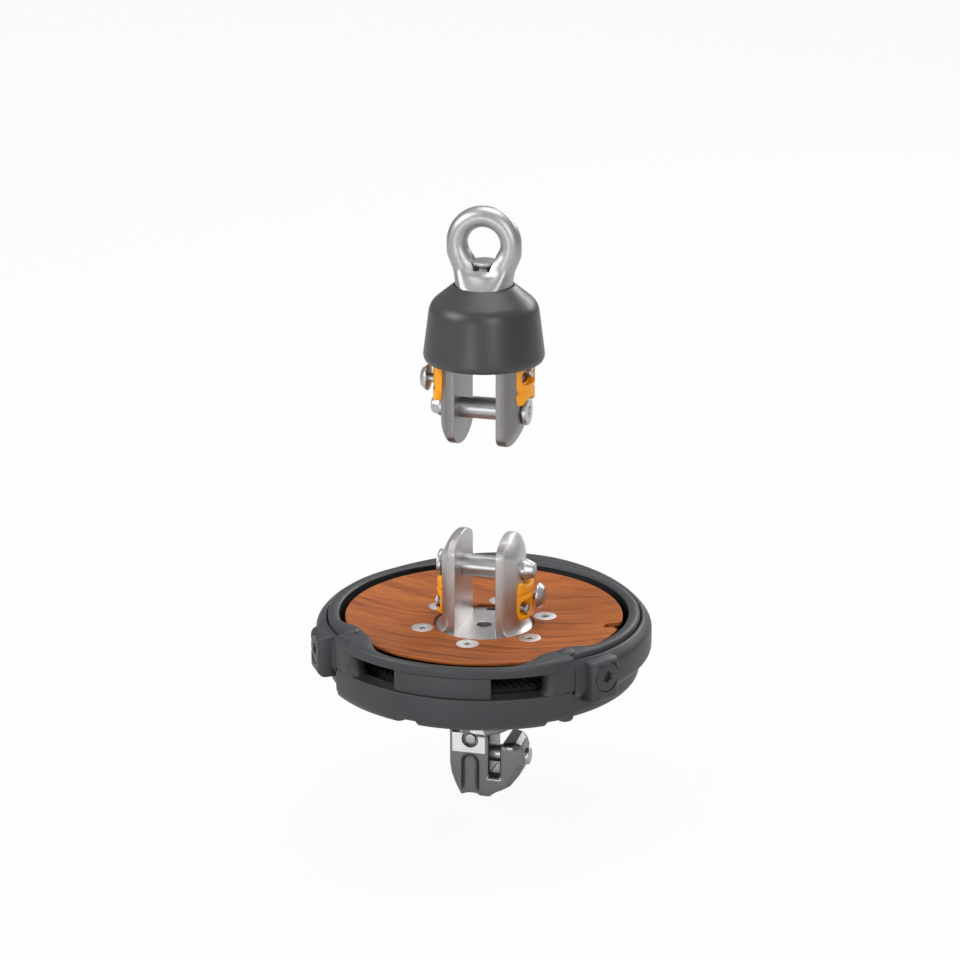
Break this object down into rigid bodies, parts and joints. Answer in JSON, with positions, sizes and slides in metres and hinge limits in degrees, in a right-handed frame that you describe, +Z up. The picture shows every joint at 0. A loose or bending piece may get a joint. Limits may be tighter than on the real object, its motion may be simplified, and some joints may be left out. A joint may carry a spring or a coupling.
{
  "type": "roller furler drum",
  "caption": "Furling drum turning in a standing frame on a tack hook, wood-decked sheave, clevis fork, with its matching head swivel above on the same line.",
  "frame": {"origin": "where the tack pin's axis crosses the stay axis, at the tack mount", "axes": "+Z up the stay, +X along the clevis pins towards the open side of the tack hook, -Y towards the line openings"},
  "size_m": [0.1852, 0.1874, 0.3337],
  "materials": {
    "stainless": "polished",
    "forged_stainless": "polished",
    "turned_stainless": "satin",
    "bearing_steel": "ground",
    "spring_steel": "satin",
    "screw_steel": "satin",
    "black_screw": "satin black",
    "aluminium_core": "anodised",
    "sheave_plastic": "satin",
    "frame_plastic": "satin",
    "cover_plastic": "satin",
    "seal_rubber": "matte",
    "orange_plastic": "satin gloss",
    "deck_wood": "oiled"
  },
  "bodies": {
    "frame": {"tack_hook": "forged_stainless", "tack_plunger_spring": "spring_steel", "axle": "bearing_steel", "axle_nut": "bearing_steel", "axle_spacers": "bearing_steel", "lower_seal": "seal_rubber", "lower_inner_race": "bearing_steel", "upper_inner_race": "bearing_steel", "lower_bearing_balls": "bearing_steel", "upper_bearing_balls": "bearing_steel", "lower_bowl": "frame_plastic", "upper_rim": "frame_plastic", "line_block": "frame_plastic", "line_posts": "frame_plastic", "rear_hoop": "frame_plastic", "side_screws": "black_screw", "frame_screws": "black_screw"},
    "tack_pin": {"tack_pin": "stainless"},
    "tack_plunger": {"tack_plunger": "stainless"},
    "rotor": {"deck_disc": "deck_wood", "deck_screws": "screw_steel", "drum_fork": "turned_stainless", "rotor_core": "aluminium_core", "sheave_upper": "sheave_plastic", "sheave_lower": "sheave_plastic", "lower_outer_race": "bearing_steel", "upper_outer_race": "bearing_steel", "drum_lock_screws": "stainless", "drum_knob_spring": "spring_steel"},
    "drum_pin": {"drum_clevis_pin": "stainless"},
    "drum_lock_right": {"drum_lock_right": "orange_plastic"},
    "drum_lock_left": {"drum_lock_left": "orange_plastic"},
    "drum_knob": {"drum_knob": "stainless"},
    "swivel_head": {"swivel_eye": "forged_stainless", "eye_stud": "stainless", "swivel_cover": "cover_plastic", "swivel_nut": "bearing_steel", "swivel_spacers": "bearing_steel", "swivel_lower_inner_race": "bearing_steel", "swivel_upper_inner_race": "bearing_steel", "swivel_lower_balls": "bearing_steel", "swivel_upper_balls": "bearing_steel"},
    "swivel_fork": {"swivel_fork": "turned_stainless", "swivel_lower_outer_race": "bearing_steel", "swivel_upper_outer_race": "bearing_steel", "swivel_lock_screws": "stainless", "swivel_knob_spring": "spring_steel"},
    "swivel_pin": {"swivel_clevis_pin": "stainless"},
    "swivel_lock_right": {"swivel_lock_right": "orange_plastic"},
    "swivel_lock_left": {"swivel_lock_left": "orange_plastic"},
    "swivel_knob": {"swivel_knob": "stainless"}
  },
  "joints": [
    {"name": "drum_spin", "type": "hinge", "parent": "frame", "child": "rotor", "pos_m": [0, 0, 0.05], "axis": [0, 0, 1], "continuous": true},
    {"name": "drum_pin_pull", "type": "slide", "parent": "rotor", "child": "drum_pin", "axis": [-1, 0, 0], "range_m": [0, 0.045]},
    {"name": "drum_lock_right_slide", "type": "slide", "parent": "rotor", "child": "drum_lock_right", "axis": [0, 0, -1], "range_m": [0, 0.0025]},
    {"name": "drum_lock_left_slide", "type": "slide", "parent": "rotor", "child": "drum_lock_left", "axis": [0, 0, -1], "range_m": [0, 0.0025]},
    {"name": "drum_knob_press", "type": "slide", "parent": "rotor", "child": "drum_knob", "axis": [-1, 0, 0], "range_m": [0, 0.0012], "stiffness_N_per_m": 200, "springref_m": -0.002},
    {"name": "tack_pin_pull", "type": "slide", "parent": "frame", "child": "tack_pin", "axis": [1, 0, 0], "range_m": [0, 0.0185]},
    {"name": "tack_plunger_press", "type": "slide", "parent": "frame", "child": "tack_plunger", "axis": [0, 1, 0], "range_m": [0, 0.0018], "stiffness_N_per_m": 200, "springref_m": -0.002},
    {"name": "swivel_hoist", "type": "slide", "parent": "frame", "child": "swivel_head", "axis": [0, 0, 1], "range_m": [0, 0.1]},
    {"name": "swivel_spin", "type": "hinge", "parent": "swivel_head", "child": "swivel_fork", "pos_m": [0, 0, 0.25], "axis": [0, 0, 1], "continuous": true},
    {"name": "swivel_pin_pull", "type": "slide", "parent": "swivel_fork", "child": "swivel_pin", "axis": [1, 0, 0], "range_m": [0, 0.045]},
    {"name": "swivel_lock_right_slide", "type": "slide", "parent": "swivel_fork", "child": "swivel_lock_right", "axis": [0, 0, 1], "range_m": [0, 0.0025]},
    {"name": "swivel_lock_left_slide", "type": "slide", "parent": "swivel_fork", "child": "swivel_lock_left", "axis": [0, 0, 1], "range_m": [0, 0.0025]},
    {"name": "swivel_knob_press", "type": "slide", "parent": "swivel_fork", "child": "swivel_knob", "axis": [1, 0, 0], "range_m": [0, 0.0012], "stiffness_N_per_m": 200, "springref_m": -0.002}
  ]
}
